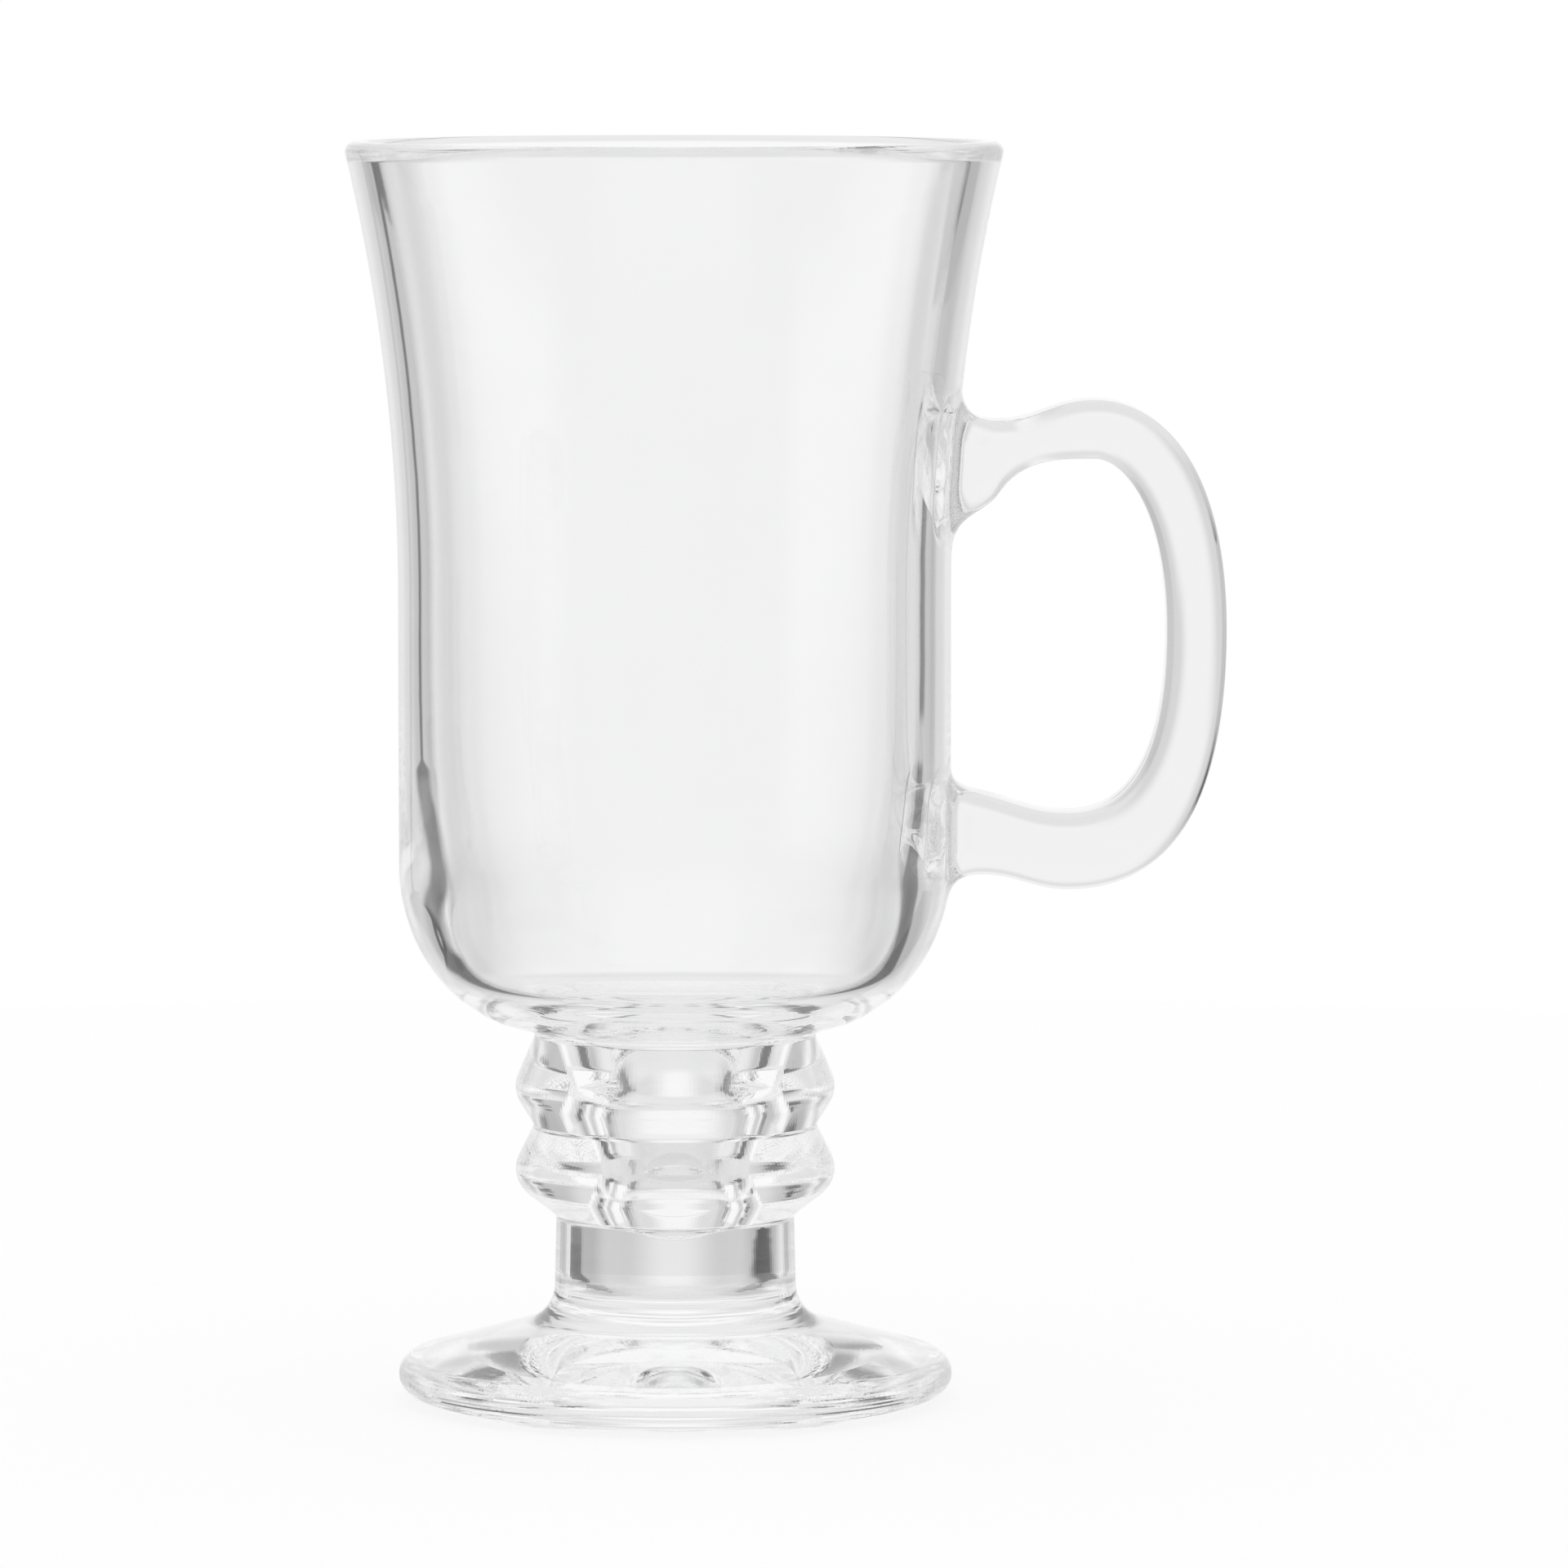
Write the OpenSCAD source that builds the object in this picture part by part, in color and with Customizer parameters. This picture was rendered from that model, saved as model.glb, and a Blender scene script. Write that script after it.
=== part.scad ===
// Footed Irish coffee mug of clear pressed glass.
// Bowl, handle, two knops, stem and foot are separate solids that meet face to face at the fused joints.
// Millimetres, +Z up. The origin is the middle of the foot's resting face, and the handle points along +X.

/* [Foot] */
// Widest diameter of the foot
foot_d = 67; // [60:0.5:76]
// Height of the foot, from the table to the end of the stem
foot_h = 14; // [12.5:0.1:18]
// Height of the foot's widest point
foot_edge_h = 3.2; // [2.8:0.1:4]
// Radius of the foot's rounded edge
foot_edge_r = 2.4; // [1.8:0.1:2.7]
// Outer diameter of the flat ring that the foot rests on
rest_ring_d = 60; // [54:0.5:62]
// Diameter of the hollow under the foot
foot_hollow_d = 46; // [30:0.5:52]
// Depth of the hollow under the foot
foot_hollow_depth = 1.4; // [0.6:0.1:2.6]
// Radius of the fillet from the stem into the foot's slope
stem_fillet_r = 4.9; // [3:0.1:7]

/* [Stem] */
// Diameter of the stem where the foot's fillet starts
stem_d = 29.2; // [25:0.1:33]
// Diameter of the stem under the lower knop
stem_top_d = 28.8; // [25:0.1:33]
// Length of the plain stem
stem_h = 8.4; // [5:0.1:14]

/* [Knops] */
// Widest diameter of the two knops
knop_d = 38.6; // [36.5:0.1:44]
// Diameter of the crease between the knops
knop_waist_d = 34.2; // [30:0.1:35.5]
// Radius of the rounded nose of a knop
knop_nose_r = 3.8; // [2.5:0.1:4.2]
// Height of the lower knop
lower_knop_h = 11; // [10:0.1:14]
// Height of the lower knop's widest point above its underside
lower_knop_nose_h = 5.7; // [4.8:0.1:6.2]
// Height of the upper knop
upper_knop_h = 11.6; // [10:0.1:14]
// Height of the upper knop's widest point above its underside
upper_knop_nose_h = 4.7; // [4.3:0.1:6]

/* [Bowl] */
// Height of the bowl, from the upper knop to the lip
bowl_h = 107; // [98:1:120]
// Diameter of the bowl's seat on the upper knop
bowl_seat_d = 33.4; // [30:0.1:35.5]
// Diameter of the bowl's straight body
body_d = 66.6; // [60:0.2:74]
// Outer diameter of the lip
rim_d = 79; // [70:0.5:90]
// Height above the seat at which the round bottom becomes the straight body
body_start_h = 19.6; // [17:0.1:24]
// Height above the seat at which the body starts to flare
flare_start_h = 52.6; // [46:0.2:60]
// Wall thickness of the body and the flare
wall = 3.7; // [3:0.1:4.6]
// Radius of the lip's rounded outer edge
lip_outer_r = 1.3; // [0.8:0.1:1.5]
// Radius of the lip's rounded inner edge
lip_inner_r = 1.6; // [0.8:0.1:1.7]
// Height of the bowl's flat floor above the seat
bowl_floor_t = 5.4; // [4:0.1:7]
// Height over which the inside narrows into its rounded corner
inner_corner_h = 39; // [34:0.5:44]
// Diameter of the flat floor of the bowl's inside, with the well in its middle
inner_floor_d = 32; // [26:0.5:36]

/* [Well] */
// Width of the flat floor round the mouth of the well that runs down through the knops
well_ledge = 1.6; // [0.8:0.1:2.5]
// Radius of the rounded edge at the well's mouth
well_edge_r = 3; // [2:0.1:4]
// Angle between the well's wall and the axis
well_taper = 13.5; // [10:0.5:15.5]
// Depth of the well's round tip below the lower knop
well_depth = 2.7; // [1.8:0.1:3.5]

/* [Handle] */
// Distance from the body's wall to the outside of the grip
handle_reach = 33; // [29:0.1:39]
// Width of the handle across the mug
handle_w = 12; // [9:0.1:15]
// Width of the roots where the handle is fused to the bowl
root_w = 20; // [16:0.1:24]
// Height of the handle's highest point above the bowl's seat
handle_top_h = 76.1; // [73:0.1:80]
// Distance from the body's wall to the highest point
handle_top_out = 17.1; // [15:0.1:20]
// Height of the grip's outermost point above the bowl's seat
grip_h = 48.4; // [44:0.1:52]
// Height of the handle's lowest point above the bowl's seat
handle_bottom_h = 17.2; // [14.5:0.1:20]
// Distance from the body's wall to the lowest point
handle_bottom_out = 14; // [12:0.1:17]
// Thickness of the upper arm
upper_arm_t = 7.1; // [6:0.1:9]
// Thickness of the grip
grip_t = 7.2; // [6:0.1:9]
// Thickness of the lower arm
lower_arm_t = 9.2; // [7.5:0.1:11]
// Dip of the upper arm beside the bowl, below the highest point
upper_dip = 2.5; // [1:0.1:4]
// Rise of the lower arm beside the bowl, above the lowest point
lower_rise = 1.8; // [0.5:0.1:3]
// Length over which the upper arm swells into its root
upper_root_l = 5.6; // [4.5:0.1:7]
// Height of the upper root on the wall
upper_root_h = 20; // [17:0.1:23]
// Height by which the upper root climbs the wall above the arm
upper_root_rise = 4; // [2.5:0.1:5]
// Length over which the lower arm swells into its root
lower_root_l = 3.6; // [3:0.1:5]
// Height of the lower root on the wall
lower_root_h = 16.2; // [14.5:0.1:18]
// Depth by which the lower root runs down the wall below the arm
lower_root_drop = 3.4; // [2:0.1:4]
// How square the handle's section is, from an ellipse at 2 towards a rectangle
handle_squareness = 2.7; // [2:0.1:4]

/* [Hidden] */
$fn = 96;

// Length by which cutting shapes run past the glass that they cut
overrun = 4;
// Steps of each arc and curve in an outline
arc_steps = 10;
curve_steps = 16;
// Sides of the handle's section and rings along each of its spans
section_sides = 28;
span_rings = 8;

glass = [0.88, 0.93, 0.93, 0.45];

// Heights of the joints
stem_z = foot_h;
lower_knop_z = stem_z + stem_h;
upper_knop_z = lower_knop_z + lower_knop_h;
bowl_z = upper_knop_z + upper_knop_h;
top_z = bowl_z + bowl_h;

// Bowl outline: one arc flares from the straight body and runs smoothly into the lip's round
body_r = body_d / 2;
body_start_z = bowl_z + body_start_h;
flare_z = bowl_z + flare_start_h;
inside_z = bowl_z + bowl_floor_t;
inside_r = body_r - wall;
flare_out = (rim_d - body_d) / 2;
lip_rise = top_z - lip_outer_r - flare_z;
flare_r = (pow(flare_out - lip_outer_r, 2) + pow(lip_rise, 2) - pow(lip_outer_r, 2)) / (2 * flare_out);
flare_centre = [body_r + flare_r, flare_z];
flare_angle = asin(lip_rise / (flare_r + lip_outer_r));
lip_outer_centre = [rim_d / 2 - lip_outer_r, top_z - lip_outer_r];
lip_inner_reach = flare_r + wall - lip_inner_r;
lip_inner_angle = asin((top_z - lip_inner_r - flare_z) / lip_inner_reach);
lip_inner_centre = [flare_centre.x - lip_inner_reach * cos(lip_inner_angle), top_z - lip_inner_r];

// Bends of the bowl's round bottom, as shares of its height and width: wall end, then seat end
bottom_bend_shares = [0.36, 0.72];
bottom_slope = 8;
// Bends of the inside's rounded corner, as shares of its height and width: wall end, then floor end
inner_bend_shares = [0.97, 0.66];

// Well: a rounded edge at the mouth, a tapered wall, and a round tip that the wall runs smoothly into
well_edge_centre = [inner_floor_d / 2 - well_ledge, inside_z - well_edge_r];
well_wall_top = well_edge_centre + well_edge_r * [-cos(well_taper), sin(well_taper)];
well_tip_z = lower_knop_z - well_depth;
well_tip_r = (well_wall_top.x * cos(well_taper) - (well_wall_top.y - well_tip_z) * sin(well_taper))
    / (1 - sin(well_taper));
well_tip_centre = [0, well_tip_z + well_tip_r];

// Radius of the well at a height below its mouth
function well_r_at(z) =
    z > well_tip_centre.y - well_tip_r * sin(well_taper)
    ? well_wall_top.x - (well_wall_top.y - z) * tan(well_taper)
    : sqrt(pow(well_tip_r, 2) - pow(well_tip_centre.y - z, 2));

// Radius of the bowl's outside at a height between the body and the lip
function bowl_r_at(z) =
    z < flare_z ? body_r : flare_centre.x - sqrt(pow(flare_r, 2) - pow(z - flare_z, 2));

// Handle: outer and inner edges in the plane of the handle, one span for each pair of key points
armpit_share = 0.64;
elbow_share = 0.41;
outer_top = [body_r + handle_top_out, bowl_z + handle_top_h];
outer_grip = [body_r + handle_reach, bowl_z + grip_h];
outer_bottom = [body_r + handle_bottom_out, bowl_z + handle_bottom_h];
inner_top = outer_top - [0, upper_arm_t];
inner_grip = outer_grip - [grip_t, 0];
inner_bottom = outer_bottom + [0, lower_arm_t];
outer_dip = [body_r + upper_root_l, outer_top.y - upper_dip];
outer_rise = [body_r + lower_root_l, outer_bottom.y + lower_rise];
upper_root_top_z = outer_dip.y + upper_root_rise;
upper_root_top = [bowl_r_at(upper_root_top_z), upper_root_top_z];
upper_root_base_z = upper_root_top_z - upper_root_h;
upper_root_base = [bowl_r_at(upper_root_base_z), upper_root_base_z];
lower_root_base = [body_r, outer_rise.y - lower_root_drop];
lower_root_top = lower_root_base + [0, lower_root_h];
inner_armpit = [body_r + upper_root_l, upper_root_base_z + armpit_share * (inner_top.y - upper_root_base_z)];
inner_elbow = [body_r + lower_root_l, inner_bottom.y + elbow_share * (lower_root_top.y - inner_bottom.y)];
// Bends of the outer and inner edges round the grip, as shares of each span's width and height
outer_top_shares = [0.46, 0.75];
outer_bottom_shares = [0.63, 0.69];
inner_top_shares = [0.38, 0.72];
inner_bottom_shares = [0.59, 0.74];
// Bends of the arms, and of the roots' fillets away from the wall and along it
arm_share = 0.4;
root_away_shares = [0.1, 0.6];
root_along_share = 0.62;
armpit_slope = 55;
elbow_slope = 14;

outer_spans = [
    root_span(upper_root_top, outer_dip, [1, 0]),
    arm_span(outer_dip, [1, 0], outer_top, [1, 0]),
    bend_span(outer_top, outer_grip, outer_top_shares),
    reverse_span(bend_span(outer_bottom, outer_grip, outer_bottom_shares)),
    arm_span(outer_bottom, [-1, 0], outer_rise, [-1, 0]),
    reverse_span(root_span(lower_root_base, outer_rise, [1, 0]))
];
inner_spans = [
    root_span(upper_root_base, inner_armpit, [cos(armpit_slope), sin(armpit_slope)]),
    arm_span(inner_armpit, [cos(armpit_slope), sin(armpit_slope)], inner_top, [1, 0]),
    bend_span(inner_top, inner_grip, inner_top_shares),
    reverse_span(bend_span(inner_bottom, inner_grip, inner_bottom_shares)),
    arm_span(inner_bottom, [-1, 0], inner_elbow, [-cos(elbow_slope), sin(elbow_slope)]),
    reverse_span(root_span(lower_root_top, inner_elbow, [cos(elbow_slope), -sin(elbow_slope)]))
];

// Points of an arc from one angle to another
function arc(centre, r, from, to, steps) =
    [for (i = [0 : steps]) centre + r * [cos(from + (to - from) * i / steps), sin(from + (to - from) * i / steps)]];

// One point of a cubic curve with four control points
function curve_point(p, t) =
    pow(1 - t, 3) * p[0] + 3 * pow(1 - t, 2) * t * p[1] + 3 * (1 - t) * t * t * p[2] + pow(t, 3) * p[3];

function curve(p, steps) = [for (i = [0 : steps]) curve_point(p, i / steps)];

// Angle on a circle at which a line from a point outside touches it, on the given side
function touch_angle(centre, r, from, side) =
    let (d = from - centre)
    atan2(d.y, d.x) + side * acos(r / norm(d));

// Spans of the handle's edges: from the wall into an arm, along an arm, and round the grip
function root_span(root, arm, direction) =
    let (out = arm.x - root.x)
    [root, root + [root_away_shares[0] * out, root_along_share * (arm.y - root.y)],
     arm - root_away_shares[1] * out * direction, arm];
function arm_span(from, leave, to, arrive) =
    let (l = norm(to - from))
    [from, from + arm_share * l * leave, to - arm_share * l * arrive, to];
function bend_span(arm, grip, shares) =
    [arm, arm + [shares[0] * (grip.x - arm.x), 0], grip + [0, shares[1] * (arm.y - grip.y)], grip];
function reverse_span(p) = [p[3], p[2], p[1], p[0]];

// Outline of the bowl's outside, from the seat up to the lip
function bowl_outside() = concat(
    curve([
        [bowl_seat_d / 2, bowl_z],
        [bowl_seat_d / 2, bowl_z]
            + bottom_bend_shares[1] * (body_r - bowl_seat_d / 2) * [cos(bottom_slope), sin(bottom_slope)],
        [body_r, body_start_z - bottom_bend_shares[0] * body_start_h],
        [body_r, body_start_z]
    ], curve_steps),
    arc(flare_centre, flare_r, 180, 180 - flare_angle, arc_steps),
    arc(lip_outer_centre, lip_outer_r, -flare_angle, 90, arc_steps)
);

// Outline of the bowl's inside, from the lip down to the floor and through the well's mouth to the seat
function bowl_inside() = concat(
    arc(lip_inner_centre, lip_inner_r, 90, 180 - lip_inner_angle, arc_steps),
    arc(flare_centre, flare_r + wall, 180 - lip_inner_angle, 180, arc_steps),
    curve([
        [inside_r, inside_z + inner_corner_h],
        [inside_r, inside_z + (1 - inner_bend_shares[0]) * inner_corner_h],
        [inner_floor_d / 2 + inner_bend_shares[1] * (inside_r - inner_floor_d / 2), inside_z],
        [inner_floor_d / 2, inside_z]
    ], curve_steps),
    arc(well_edge_centre, well_edge_r, 90, 180 - well_taper, arc_steps),
    [[well_r_at(bowl_z), bowl_z]]
);

// Outline of the well's wall between two heights, from the upper one down
function well_wall(low, high) =
    [for (i = [0 : curve_steps]) let (z = high + (low - high) * i / curve_steps) [well_r_at(z), z]];

// Outline of the stem: a short cone with the well's tip sunk into its top
function stem_outline() = concat(
    [[0, stem_z], [stem_d / 2, stem_z], [stem_top_d / 2, lower_knop_z]],
    arc(well_tip_centre, well_tip_r, asin((lower_knop_z - well_tip_centre.y) / well_tip_r), -90, arc_steps)
);

// Outline of a knop round the well: straight shoulders that run smoothly into a rounded nose
function knop_outline(z, base_d, h, top_d, nose_h) =
    let (
        centre = [knop_d / 2 - knop_nose_r, z + nose_h],
        base = [base_d / 2, z],
        top = [top_d / 2, z + h]
    )
    concat(
        [base],
        arc(centre, knop_nose_r, touch_angle(centre, knop_nose_r, base, 1),
            touch_angle(centre, knop_nose_r, top, -1), arc_steps),
        [top],
        well_wall(z, z + h)
    );

// Outline of the foot: fillet under the stem, sloped top, rounded edge, resting ring and shallow hollow
function foot_outline() =
    let (
        fillet_centre = [stem_d / 2 + stem_fillet_r, foot_h],
        edge_centre = [foot_d / 2 - foot_edge_r, foot_edge_h],
        between = edge_centre - fillet_centre,
        slope = atan2(between.y, between.x) + asin((stem_fillet_r + foot_edge_r) / norm(between)),
        rest = [rest_ring_d / 2, 0],
        hollow_r = (pow(foot_hollow_d / 2, 2) + pow(foot_hollow_depth, 2)) / (2 * foot_hollow_depth),
        hollow_angle = asin(foot_hollow_d / 2 / hollow_r)
    )
    concat(
        [[0, foot_h]],
        arc(fillet_centre, stem_fillet_r, 180, 270 + slope, arc_steps),
        arc(edge_centre, foot_edge_r, 90 + slope, touch_angle(edge_centre, foot_edge_r, rest, 1), arc_steps),
        [rest],
        arc([0, foot_hollow_depth - hollow_r], hollow_r, 90 - hollow_angle, 90, arc_steps)
    );

// One ring of the handle's section, set across its outer and inner edges
function section_ring(outer, inner, w) =
    let (
        middle = (outer + inner) / 2,
        half = (outer - inner) / 2,
        round = 2 / handle_squareness
    )
    [for (i = [0 : section_sides - 1])
        let (
            a = 360 * i / section_sides,
            u = sign(cos(a)) * pow(abs(cos(a)), round),
            v = sign(sin(a)) * pow(abs(sin(a)), round)
        )
        [middle.x + u * half.x, v * w / 2, middle.y + u * half.y]
    ];

// Width of the handle along its spans: it swells towards both roots
function span_width(span, t) =
    let (
        swell = span == 0 ? 1 - t : span == len(outer_spans) - 1 ? t : 0
    )
    handle_w + (root_w - handle_w) * pow(swell, 2);

// Closed skin over a list of rings
module skin(rings) {
    n = len(rings[0]);
    last = len(rings) - 1;
    points = [for (ring = rings) each ring];
    sides = [for (k = [0 : last - 1]) for (i = [0 : n - 1])
        let (a = k * n + i, b = k * n + (i + 1) % n)
        each [[a, b, b + n], [a, b + n, a + n]]];
    start = [for (i = [1 : n - 2]) [0, i + 1, i]];
    end = [for (i = [1 : n - 2]) [last * n, last * n + i, last * n + i + 1]];
    polyhedron(points, concat(sides, start, end), convexity = 6);
}

// Strap of the handle, run past the wall at both roots
module handle_strap() {
    spans = len(outer_spans);
    body = [for (s = [0 : spans - 1]) for (k = [0 : span_rings - (s == spans - 1 ? 0 : 1)])
        let (t = k / span_rings)
        section_ring(curve_point(outer_spans[s], t), curve_point(inner_spans[s], t), span_width(s, t))];
    sunk = [overrun, 0];
    sunk_start = section_ring(upper_root_top - sunk, upper_root_base - sunk, root_w + overrun);
    sunk_end = section_ring(lower_root_base - sunk, lower_root_top - sunk, root_w + overrun);
    skin(concat([sunk_start], body, [sunk_end]));
}

module bowl_block() {
    rotate_extrude() polygon(concat([[0, bowl_z]], bowl_outside(), [[0, top_z]]));
}

module bowl() {
    color(glass) rotate_extrude() polygon(concat(bowl_outside(), bowl_inside()));
}

module handle() {
    color(glass) difference() {
        handle_strap();
        bowl_block();
    }
}

module upper_knop() {
    color(glass) rotate_extrude()
        polygon(knop_outline(upper_knop_z, knop_waist_d, upper_knop_h, bowl_seat_d, upper_knop_nose_h));
}

module lower_knop() {
    color(glass) rotate_extrude()
        polygon(knop_outline(lower_knop_z, stem_top_d, lower_knop_h, knop_waist_d, lower_knop_nose_h));
}

module stem() {
    color(glass) rotate_extrude() polygon(stem_outline());
}

module foot() {
    color(glass) rotate_extrude() polygon(foot_outline());
}

bowl();
handle();
upper_knop();
lower_knop();
stem();
foot();
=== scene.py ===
import math

import bpy
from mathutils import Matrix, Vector


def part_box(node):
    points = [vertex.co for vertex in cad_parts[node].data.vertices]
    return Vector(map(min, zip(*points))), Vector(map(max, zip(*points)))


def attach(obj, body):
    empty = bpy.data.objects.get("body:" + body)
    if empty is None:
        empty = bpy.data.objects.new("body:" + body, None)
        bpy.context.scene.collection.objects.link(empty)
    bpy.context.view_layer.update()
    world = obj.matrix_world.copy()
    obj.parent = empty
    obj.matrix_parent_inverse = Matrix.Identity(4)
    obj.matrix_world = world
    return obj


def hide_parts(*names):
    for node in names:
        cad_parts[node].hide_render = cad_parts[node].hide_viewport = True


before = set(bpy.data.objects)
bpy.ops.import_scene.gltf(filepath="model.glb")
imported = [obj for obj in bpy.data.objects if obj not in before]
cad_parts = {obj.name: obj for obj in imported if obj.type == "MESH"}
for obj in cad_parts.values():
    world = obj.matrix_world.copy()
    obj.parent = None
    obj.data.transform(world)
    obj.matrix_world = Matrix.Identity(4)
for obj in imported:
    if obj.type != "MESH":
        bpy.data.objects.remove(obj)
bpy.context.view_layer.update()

# Bowl: thick clear pressed glass, straight below and flared to a fire-polished lip.
# It was pressed in one hot piece with the handle and the stem, so its joints to them are fused and hidden.
# The plunger's nose left a tapered well under the floor, which ends in a round tip in the top of the stem.
mm = 0.001
bowl_low, bowl_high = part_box("bowl")
seat_z = bowl_low.z
lip_z = bowl_high.z
lip_r = bowl_high.y
seat_corner_r = 16.7 * mm
bottom_slope = math.radians(8)
bottom_reach_share = 0.72
bottom_drop_share = 0.36
body_r = 33.3 * mm
body_z = seat_z + 19.6 * mm
flare_z = seat_z + 52.6 * mm
wall = 3.7 * mm
lip_outer_r = 1.3 * mm
lip_inner_r = 2.25 * mm
floor_z = seat_z + 5.4 * mm
floor_r = 16 * mm
floor_corner_h = 39 * mm
floor_wall_share = 0.97
floor_corner_share = 0.66
well_ledge = 1.6 * mm
well_edge_r = 3 * mm
well_edge = (floor_r - well_ledge, floor_z - well_edge_r)
well_taper = math.radians(13.5)
well_tip_drop = 2.7 * mm
well_tip_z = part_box("stem")[1].z - well_tip_drop
upper_crease_r = 0.7 * mm
upper_crease_out_share = 1.43
upper_crease_drop_share = 0.81
upper_crease = (
    seat_corner_r + upper_crease_out_share * upper_crease_r,
    seat_z - upper_crease_drop_share * upper_crease_r)


def round_part(centre, radius, start, end, steps):
    """Outline points round a centre, by the angle that the surface faces. A hollow has a radius below 0."""
    faced = [start + (end - start) * k / steps for k in range(steps + 1)]
    return [(centre[0] + radius * math.cos(a), centre[1] + radius * math.sin(a), a) for a in faced]


def bend_part(bend, steps, start=0.0, end=1.0):
    """Outline points along a smooth bend with four control points, and the angle that each faces."""
    points = []
    for k in range(steps + 1):
        t = start + (end - start) * k / steps
        r, z = cubic(bend, t)
        dr, dz = cubic_slope(bend, t)
        points.append((r, z, math.atan2(-dr, dz)))
    return points


def cubic(bend, t):
    """Point at a share of the way along a bend with four control points."""
    shares = ((1 - t) ** 3, 3 * (1 - t) ** 2 * t, 3 * (1 - t) * t * t, t ** 3)
    return tuple(sum(s * p[k] for s, p in zip(shares, bend)) for k in range(len(bend[0])))


def cubic_slope(bend, t):
    """Direction of a bend with four control points at a share of the way along it."""
    shares = (3 * (1 - t) ** 2, 6 * (1 - t) * t, 3 * t * t)
    steps = [[b[k] - a[k] for k in range(len(a))] for a, b in zip(bend, bend[1:])]
    return tuple(sum(s * d[k] for s, d in zip(shares, steps)) for k in range(len(bend[0])))


def meeting_angle(centre, radius, next_centre, next_radius):
    """Angle faced by the straight line that runs smoothly from one round to the next."""
    dr = next_centre[0] - centre[0]
    dz = next_centre[1] - centre[1]
    return math.atan2(dz, dr) - math.acos((radius - next_radius) / math.hypot(dr, dz))


def joint_angle(crease, crease_r, z):
    """Angle faced by a hollow crease where the joint between two pieces crosses it."""
    return math.asin((crease[1] - z) / crease_r)


# Outside of the bowl: the crease over the knop, the round bottom, the body and the flare
crease_end = bottom_slope - math.pi / 2
bottom_start = round_part(upper_crease, -upper_crease_r, crease_end, crease_end, steps=1)[0][:2]
bottom_reach = bottom_reach_share * (body_r - bottom_start[0])
bottom_bend = [
    bottom_start,
    (bottom_start[0] + bottom_reach * math.cos(bottom_slope),
     bottom_start[1] + bottom_reach * math.sin(bottom_slope)),
    (body_r, body_z - bottom_drop_share * (body_z - bottom_start[1])),
    (body_r, body_z),
]
flare_out = lip_r - body_r
lip_rise = lip_z - lip_outer_r - flare_z
flare_r = ((flare_out - lip_outer_r) ** 2 + lip_rise ** 2 - lip_outer_r ** 2) / (2 * flare_out)
flare_centre = (body_r + flare_r, flare_z)
flare_turn = math.asin(lip_rise / (flare_r + lip_outer_r))
lip_inner_reach = flare_r + wall - lip_inner_r
lip_inner_turn = math.asin((lip_z - lip_inner_r - flare_z) / lip_inner_reach)


def wall_at(z):
    """Radius of the bowl's outside at a height over the start of its bottom, and the angle it faces."""
    if z >= flare_z:
        turn = math.asin((z - flare_z) / flare_r)
        return flare_centre[0] - flare_r * math.cos(turn), -turn
    if z >= body_z:
        return body_r, 0.0
    low, high = 0.0, 1.0
    halvings = 40
    for _ in range(halvings):
        middle = (low + high) / 2
        if cubic(bottom_bend, middle)[1] < z:
            low = middle
        else:
            high = middle
    dr, dz = cubic_slope(bottom_bend, low)
    return cubic(bottom_bend, low)[0], math.atan2(-dr, dz)


# Roots of the handle on the wall: rows and columns of the wall's mesh that each patch takes up
root_columns = 30
root_rows = 18
root_half_w = 7 * mm
root_corner_r = 5.2 * mm
root_ease = 1.7
upper_root_low = seat_z + 57.6 * mm
upper_root_high = seat_z + 77.6 * mm
lower_root_low = seat_z + 15.6 * mm
lower_root_high = seat_z + 31.8 * mm
roots = [(upper_root_low, upper_root_high), (lower_root_low, lower_root_high)]


def rounded(y, z, half_w, half_h, corner_r):
    """Moves a point on the edge of a rectangle onto the rectangle with rounded corners."""
    keep_y = max(-(half_w - corner_r), min(half_w - corner_r, y))
    keep_z = max(-(half_h - corner_r), min(half_h - corner_r, z))
    out = math.hypot(y - keep_y, z - keep_z)
    if out == 0:
        return y, z
    return keep_y + corner_r * (y - keep_y) / out, keep_z + corner_r * (z - keep_z) / out


def eased(y, z):
    """Moves the wall's mesh round the roots, so that the corners of their patches are rounded."""
    for low, high in roots:
        half_h = (high - low) / 2
        from_middle = z - (low + high) / 2
        share = max(abs(y) / root_half_w, abs(from_middle) / half_h)
        if 0 < share < root_ease:
            edge_y, edge_z = y / share, from_middle / share
            to_y, to_z = rounded(edge_y, edge_z, root_half_w, half_h, root_corner_r)
            fade = share if share < 1 else ((root_ease - share) / (root_ease - 1)) ** 2
            y += (to_y - edge_y) * fade
            z += (to_z - edge_z) * fade
    return y, z


def turned_point(r, z, faced, turn):
    """Place of an outline's point that is turned about the axis, and its normal."""
    place = Vector((r * math.cos(turn), r * math.sin(turn), z))
    outward = Vector((math.cos(faced) * math.cos(turn), math.cos(faced) * math.sin(turn), math.sin(faced)))
    return place, outward


def wall_point(y, z):
    """Place on the bowl's outside, by the way round from the handle and the height, and its normal."""
    r, faced = wall_at(z)
    return turned_point(r, z, faced, y / body_r)


def even_steps(low, high, count):
    """Values in even steps from the low one up to the high one, which is left out."""
    return [low + (high - low) * k / count for k in range(count)]


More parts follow.
